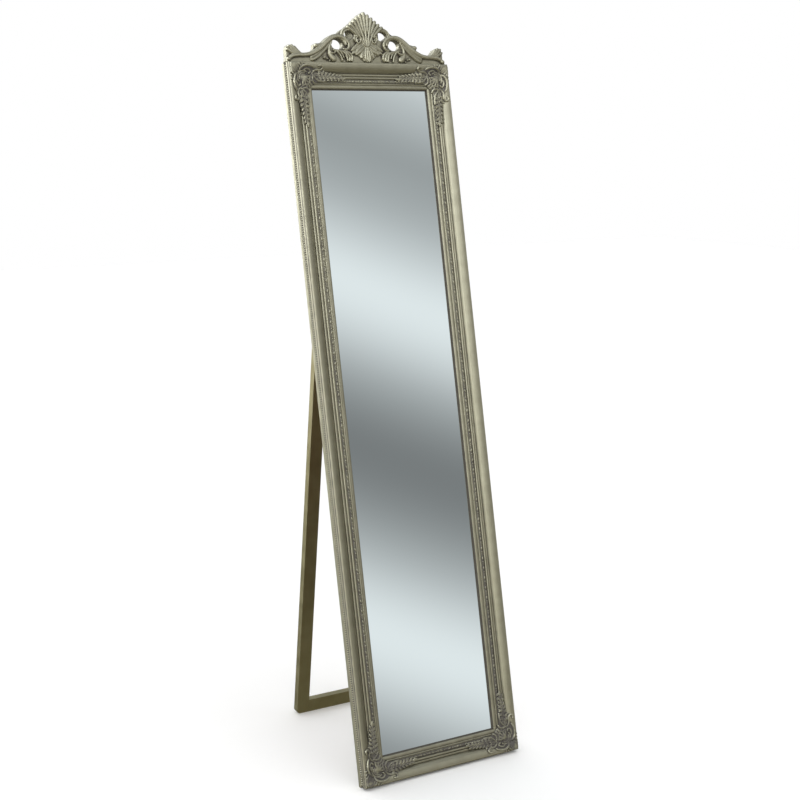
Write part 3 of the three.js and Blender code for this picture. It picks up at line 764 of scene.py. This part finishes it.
def add_crest():
    relief = Relief(CREST_BACK)
    outline = CREST_OUTLINE + mirrored(CREST_OUTLINE[1:])[::-1]
    holes = [arc((side * x, z), radii, 0, 345, 23) for x, z, *radii in CREST_HOLES for side in (-1, 1)]
    relief.plate(outline, CREST_PLATE_FRONT, holes)
    for ground in (SHELL_GROUND, LEAF_GROUND):
        relief.plate(ground + mirrored(ground[1:-1])[::-1], GROUND_FRONT)
    for web in (HOLE_WEB, mirrored(HOLE_WEB)):
        relief.plate(web, web_front)
    add_shell_fan(relief)
    add_scrolls(relief)
    add_drapery(relief)
    add_end_leaves(relief)
    points, faces = relief.skin(SKIN_VOXEL, 3)
    points[:, 2] = np.maximum(points[:, 2], CREST_FOOT)
    recess_and_shade = relief_cavity(points, CREST_BACK, (2.5, 7.0), (0.24, 0.06))
    recess_and_shade[points[:, 1] > CREST_PLATE_FRONT + WALL_MARGIN] = WALL_RECESS
    relief_piece("carved_crest", points + (0, 0, HEIGHT), faces, recess_and_shade, "moulding", "crest")


# ---- corner ornaments -------------------------------------------------------------------

# The moulding's surface under an ornament: depth against distance from the outer edge.
SEAT = [
    (0, -0.6), (8, -0.1), (14, 1.4), (19, 4.1), (22, 6.0),
    (36, 5.6), (45, 6.2), (51, 7.4), (57, 9), (64, 11),
]
ORNAMENT_GROUND = [              # the plate under one arm, from the corner to the sight edge
    (7, 7), (30, 8), (60, 12), (92, 20), (128, 30), (150, 36),
    (148, 41), (98, 45), (66, 50), (58, 58),
]
CREASE = 5.0                     # rounds the fold over the mitre
ORNAMENT_BACK = 3.2
ORNAMENT_PLATE = -1.4            # depth of the plate's front
ORNAMENT_WASH = 0.1              # added to the recess values everywhere as wash, and low on the frame as painted shade
ORNAMENT_LOW_SHADE = 0.2


def drape(points):
    """Lays a flat relief, with the corner at its origin, onto the mitred moulding."""
    across, down = points[:, 0], -points[:, 2]
    inwards = (across + down - np.sqrt((across - down) ** 2 + CREASE ** 2)) / 2
    seat = np.interp(inwards, [row[0] for row in SEAT], [row[1] for row in SEAT])
    return np.column_stack([points[:, 0], points[:, 1] + seat, points[:, 2]])


def flipped(rows):
    """The same strand on the other arm, across the corner's diagonal."""
    return [(row[1], row[0], *row[2:]) for row in rows]


# Strands of an ornament's arm: rows of (along, inwards, half width, height).
ARM_SCROLLS = [
    [(26, 27, 2.6, 5), (29, 18, 3, 6), (37, 11.6, 3.2, 6.4), (49, 9.6, 3.2, 6.2),
     (61, 11.6, 3, 5.4), (67, 15, 2.4, 4.6)],
    [(38, 22, 2, 4.4), (44, 17.6, 2.4, 4.8), (53, 18.4, 2.4, 4.6), (57, 23, 2.4, 5),
     (53, 27.4, 2.6, 5.6)],
    [(60, 29, 2.4, 4), (66, 22.6, 2.8, 4.6), (75, 20, 2.8, 5), (84, 20.4, 2.8, 5.2),
     (90.4, 15.6, 3, 5), (87.6, 9.6, 3.2, 5), (81.6, 10.4, 2.8, 5)],
    [(70, 27, 2, 4), (80, 27.6, 2.4, 4.4), (89, 25.6, 2.4, 4.4), (95, 20, 2, 3.8)],
    [(57, 33, 2.4, 4.4), (53.6, 42, 2.6, 4.8), (54.6, 50, 2.6, 4.6), (59, 56.4, 2.2, 3.4)],
    [(64, 30, 2.4, 4.6), (61.4, 39, 2.8, 5), (63, 47, 2.8, 4.6), (69, 51.4, 2.2, 3.4)],
    [(66, 34, 2.6, 4.4), (74, 42, 2.8, 4.4), (85, 45.8, 2.8, 4), (98, 46.4, 2.4, 3.2)],
    [(68, 31, 3, 3.8), (90, 35, 3.4, 3.6), (115, 36, 3, 3.2), (140, 38.4, 2.2, 2.6)],
]
CORNER_LEAVES = [
    [(5.4, 5.4, 2.6, 4.6), (13, 10, 3.2, 5.4), (21, 19, 3.2, 5.4)],
    [(12, 4.4, 2.2, 4.6), (19, 8, 2.8, 5.2), (25, 14, 2.6, 5)],
    [(20, 4.2, 2, 4.4), (27, 7, 2.6, 5), (31, 12, 2.2, 4.8)],
]
TIP_LEAF = [(140, 37, 2.6, 3.2), (147, 38.4, 3.6, 3.8), (152.4, 38.6, 2.4, 3.2)]


def berry(along, inwards, radius, height, inward_shift):
    """A short round strand."""
    return [(along, inwards, radius, height), (along + 0.6, inwards + inward_shift, radius, height)]


def ornament_strands():
    """One arm's strands, each with its section."""
    strands = [(rows, round_section) for rows in ARM_SCROLLS]
    strands += [(rows, vein_section) for rows in CORNER_LEAVES]
    for i in range(5):
        strands.append((berry(9 + 8 * i, 3.8, 2.1, 3.8, 0.4), round_section))
    for i in range(7):
        start = 76 + 10 * i
        scale = 1 - 0.06 * i
        outer = [(start, 33, 2, 3.4), (start + 4, 28 + 0.5 * i, 3.4 * scale, 5.8 * scale),
                 (start + 8.4, 22 + 1.3 * i, 2.6 * scale, 4.6 * scale)]
        inner = [(start + 3, 36, 1.9, 3.2), (start + 7.4, 40, 3.2 * scale, 5.4 * scale),
                 (start + 11.6, 44.4, 2.2 * scale, 4.2 * scale)]
        strands += [(outer, vein_section), (inner, vein_section)]
        berries = ((6.4, 33.4, 2), (3.4, 22.6 + 1.4 * i, 1.7), (7, 44.4, 1.5), (0.4, 38.6, 1.4))
        for along, inwards, radius in berries:
            rows = berry(start + along, inwards, radius * scale, 5.4 * scale, 0.3)
            strands.append((rows, round_section))
    strands.append((TIP_LEAF, vein_section))
    return strands


def ray_rows(centre, turn, steps):
    """Rows on a ray from a spot on the diagonal; each step is (radius, half width, height)."""
    angle = math.radians(turn)
    return [(centre + radius * math.cos(angle), centre + radius * math.sin(angle), half, height)
            for radius, half, height in steps]


def cartouche_strands():
    """Scrolls and ribs round the boss that sits on the corner's diagonal, in both arms at once."""
    strands = []
    for radius, start, end, half, height in ((16.4, 150, 300, 2.0, 5.6), (12.2, 165, 285, 1.5, 6.2)):
        rim = arc((38, 38), (radius, radius), start, end, 8)
        strands.append(([(*place, half, height) for place in rim], round_section))
    ribs = ((1, 1.2, 6.4), (8, 2.2, 6.8), (15, 2.6, 5.8), (21, 1.9, 4.4))
    for i in range(-2, 3):
        strands.append((ray_rows(36, 45 + i * 26, ribs), vein_section))
    leaves = ((12, 1.8, 4.4), (18, 2.4, 4.6), (22.4, 1.8, 3.4))
    for i in (-1.5, -0.5, 0.5, 1.5):
        strands.append((ray_rows(42, 45 + i * 24, leaves), vein_section))
    return strands


def raised(rows):
    """An ornament's rows in the relief's own terms, where up and depth have the other sign."""
    return [(along, -inwards, half, -height) for along, inwards, half, height in rows]


def add_ornaments():
    relief = Relief(ORNAMENT_BACK)
    for rows, section in ornament_strands():
        for arm in (rows, flipped(rows)):
            relief.strand(raised(arm), section, 3.4)
    for rows, section in cartouche_strands():
        relief.strand(raised(rows), section, 3)
    boss = [(35.6, 35.6, 11.4, 5.6), (36.4, 36.4, 11.4, 5.6)]
    relief.strand(raised(boss), round_section, 4.6)
    outline = ORNAMENT_GROUND + flipped(ORNAMENT_GROUND[1:-1])[::-1]
    relief.plate([(along, -inwards) for along, inwards in outline], ORNAMENT_PLATE)
    points, faces = relief.skin(SKIN_VOXEL, 2)
    recess_and_shade = relief_cavity(points, ORNAMENT_BACK, (2.0, 6.0), (0.3, 0.05))
    draped = drape(points)
    x = WIDTH / 2
    corners = {"top_left": ((-x, 0, HEIGHT), 0), "top_right": ((x, 0, HEIGHT), 90),
               "bottom_right": ((x, 0, 0), 180), "bottom_left": ((-x, 0, 0), -90)}
    for corner, (place, turn) in corners.items():
        laid = moved(draped, edge_place(place, turn))
        # wash in the recesses, plus painted shade on the ornaments low on the frame
        wash_and_shade = recess_and_shade + ORNAMENT_WASH + ORNAMENT_LOW_SHADE * painted_low_shade(laid, 0)
        relief_piece(f"{corner}_acanthus", laid, faces, wash_and_shade, "ornament", f"{corner}_ornament")


add_frame_bars()
add_crest()
add_ornaments()


# ---- CAD pieces that stay: soften their edges -------------------------------------------

EDGE_RADIUS = {"stand_paint": 2.2, "steel": 0.25, "mirror": 0.4, "backboard": 0.3, "plain_wood": 0.3}


def soften_edges():
    for node_name, node in frame["nodes"].items():
        radius = EDGE_RADIUS.get(SLOT_OF[node_name])
        if radius:
            bevel = node.modifiers.new("edges", "BEVEL")
            bevel.width = radius * MM
            bevel.segments = 3
            bevel.limit_method = "ANGLE"
            bevel.angle_limit = math.radians(35)


soften_edges()


# ---- floor, light and camera ------------------------------------------------------------

FLOOR_REACH = 12                 # metres


def add_floor():
    corners = [(x * FLOOR_REACH, y * FLOOR_REACH, 0) for x, y in ((-1, -1), (1, -1), (1, 1), (-1, 1))]
    mesh = bpy.data.meshes.new("floor")
    mesh.from_pydata(corners, [], [(0, 1, 2, 3)])
    mesh.materials.append(Nodes("pale_floor").surface(Base_Color=(0.9, 0.9, 0.895, 1), Roughness=0.6))
    floor = bpy.data.objects.new("floor", mesh)
    bpy.context.scene.collection.objects.link(floor)
    floor.visible_glossy = False


def add_area_light(name, place, target, size, power):
    data = bpy.data.lights.new(name, "AREA")
    data.size = size
    data.energy = power
    light = bpy.data.objects.new(name, data)
    light.location = place
    light.rotation_euler = (Vector(target) - Vector(place)).to_track_quat("-Z", "Y").to_euler()
    bpy.context.scene.collection.objects.link(light)


# Brightness of the soft panels in front that the mirror shows: (height, brightness), where the
# height grows upwards and to the right.
SOFT_BANDS = [
    (-30, 0.10), (-9, 0.16), (-3.6, 0.36), (0.6, 0.88), (4.4, 0.48), (8.2, 0.225), (11.4, 0.48),
    (14.3, 0.88), (17, 0.585), (19.2, 0.393), (20.7, 0.46), (22.2, 0.655), (24.2, 0.86),
    (31, 1.5), (38, 1.9), (45, 1.7),
]
PANEL_CLIMB = (41.0, 58.0)       # of that height, per unit of x and of z
PANEL_START = -21.1
OPEN_WHITE = 1.2                 # what matt surfaces see
DIM_ROOM = (1.0, 0.91, 0.64, 1)  # tint of the lower room
BRIGHT_ROOM = (1.0, 1.04, 1.12, 1)


def add_world():
    """A studio that only glossy surfaces see: bright above the horizon, most of all to the left,
    dim and warm below it, with soft light panels in front. Everything else sees plain white."""
    world = bpy.data.worlds.new("studio")
    world.use_nodes = True
    world.cycles.sampling_method = "NONE"
    tree = world.node_tree

    def node_with(kind, inputs, **settings):
        node = tree.nodes.new(kind)
        for key, value in settings.items():
            setattr(node, key, value)
        for key, value in inputs.items():
            if isinstance(value, bpy.types.NodeSocket):
                tree.links.new(value, node.inputs[key])
            else:
                node.inputs[key].default_value = value
        return node

    def maths(operation, a, b):
        return node_with("ShaderNodeMath", {0: a, 1: b}, operation=operation).outputs[0]

    def sum_of(a, b):
        return maths("ADD", a, b)

    def times(a, b):
        return maths("MULTIPLY", a, b)

    def fade(value, low, high, to_low, to_high):
        inputs = {"Value": value, 1: low, 2: high, 3: to_low, 4: to_high}
        node = node_with("ShaderNodeMapRange", inputs, interpolation_type="SMOOTHSTEP")
        return node.outputs["Result"]

    def blend(share, a, b):
        node = node_with("ShaderNodeMix", {"Factor": share, "A": a, "B": b}, data_type="RGBA")
        return node.outputs["Result"]

    direction = node_with("ShaderNodeTexCoord", {}).outputs["Generated"]
    x, y, z = node_with("ShaderNodeSeparateXYZ", {0: direction}).outputs

    low, high = SOFT_BANDS[0][0], SOFT_BANDS[-1][0]
    height = sum_of(sum_of(times(z, PANEL_CLIMB[1]), times(x, PANEL_CLIMB[0])), PANEL_START)
    panels = node_with("ShaderNodeValToRGB", {"Fac": times(sum_of(height, -low), 1 / (high - low))})
    panels.color_ramp.interpolation = "CARDINAL"
    stops = panels.color_ramp.elements
    while len(stops) < len(SOFT_BANDS):
        stops.new(0.5)
    for stop, (level, value) in zip(stops, SOFT_BANDS):
        stop.position = (level - low) / (high - low)
        stop.color = (value, value, value, 1)

    to_left = fade(x, -0.1, -0.45, 0, 1)
    upper = times(fade(x, -0.45, 0.5, 4.9, 0.9), fade(z, 0.2, 0.65, 1.0, 0.4))
    upper = times(upper, fade(y, -0.6, 0.0, sum_of(0.42, times(to_left, 0.3)), 1.0))
    lower = fade(y, -0.3, -0.6, 0.06, 0.28)
    horizon = sum_of(-0.03, times(times(to_left, fade(y, -0.2, 0.5, 0, 1)), -0.22))
    rise = fade(z, horizon, sum_of(horizon, fade(x, -0.5, 0.0, 0.36, 0.5)), 0, 1)
    strength = sum_of(times(upper, rise), times(lower, maths("SUBTRACT", 1.0, rise)))
    room = node_with("ShaderNodeVectorMath", {0: blend(rise, DIM_ROOM, BRIGHT_ROOM), 1: strength},
                     operation="MULTIPLY").outputs[0]
    in_front = times(fade(y, -0.45, -0.7, 0, 1), fade(x, 0.2, 0.4, 0, 1))
    in_front = times(in_front, times(fade(z, -0.35, -0.1, 0, 1), fade(x, 0.66, 0.82, 1, 0)))
    glossy = blend(in_front, room, panels.outputs["Color"])
    is_glossy = node_with("ShaderNodeLightPath", {}).outputs["Is Glossy Ray"]
    is_camera = node_with("ShaderNodeLightPath", {}).outputs["Is Camera Ray"]
    plain = blend(is_camera, (OPEN_WHITE, OPEN_WHITE, OPEN_WHITE, 1), (1, 1, 1, 1))
    tree.links.new(blend(is_glossy, plain, glossy), tree.nodes["Background"].inputs["Color"])
    bpy.context.scene.world = world


def add_camera():
    """The photograph's view, from the front left."""
    data = bpy.data.cameras.new("camera")
    data.sensor_width = 36
    data.lens = 67.55
    data.shift_x = 0.087
    data.shift_y = 0.0415
    camera = bpy.data.objects.new("camera", data)
    camera.location = (-1.9721, -3.0283, 1.5505)
    yaw, pitch = math.radians(30.737), math.radians(-11.875)
    camera.rotation_euler = (math.pi / 2 + pitch, 0, -yaw)
    bpy.context.scene.collection.objects.link(camera)
    bpy.context.scene.camera = camera


add_floor()
add_world()
add_area_light("key", (0.25, -2.6, 2.5), (0, 0.15, 1.6), 1.2, 7)
add_area_light("side", (-1.5, 1.9, 2.3), (-0.1, 0.2, 1.6), 1.2, 6)
add_camera()
bpy.context.scene.view_settings.view_transform = "Standard"
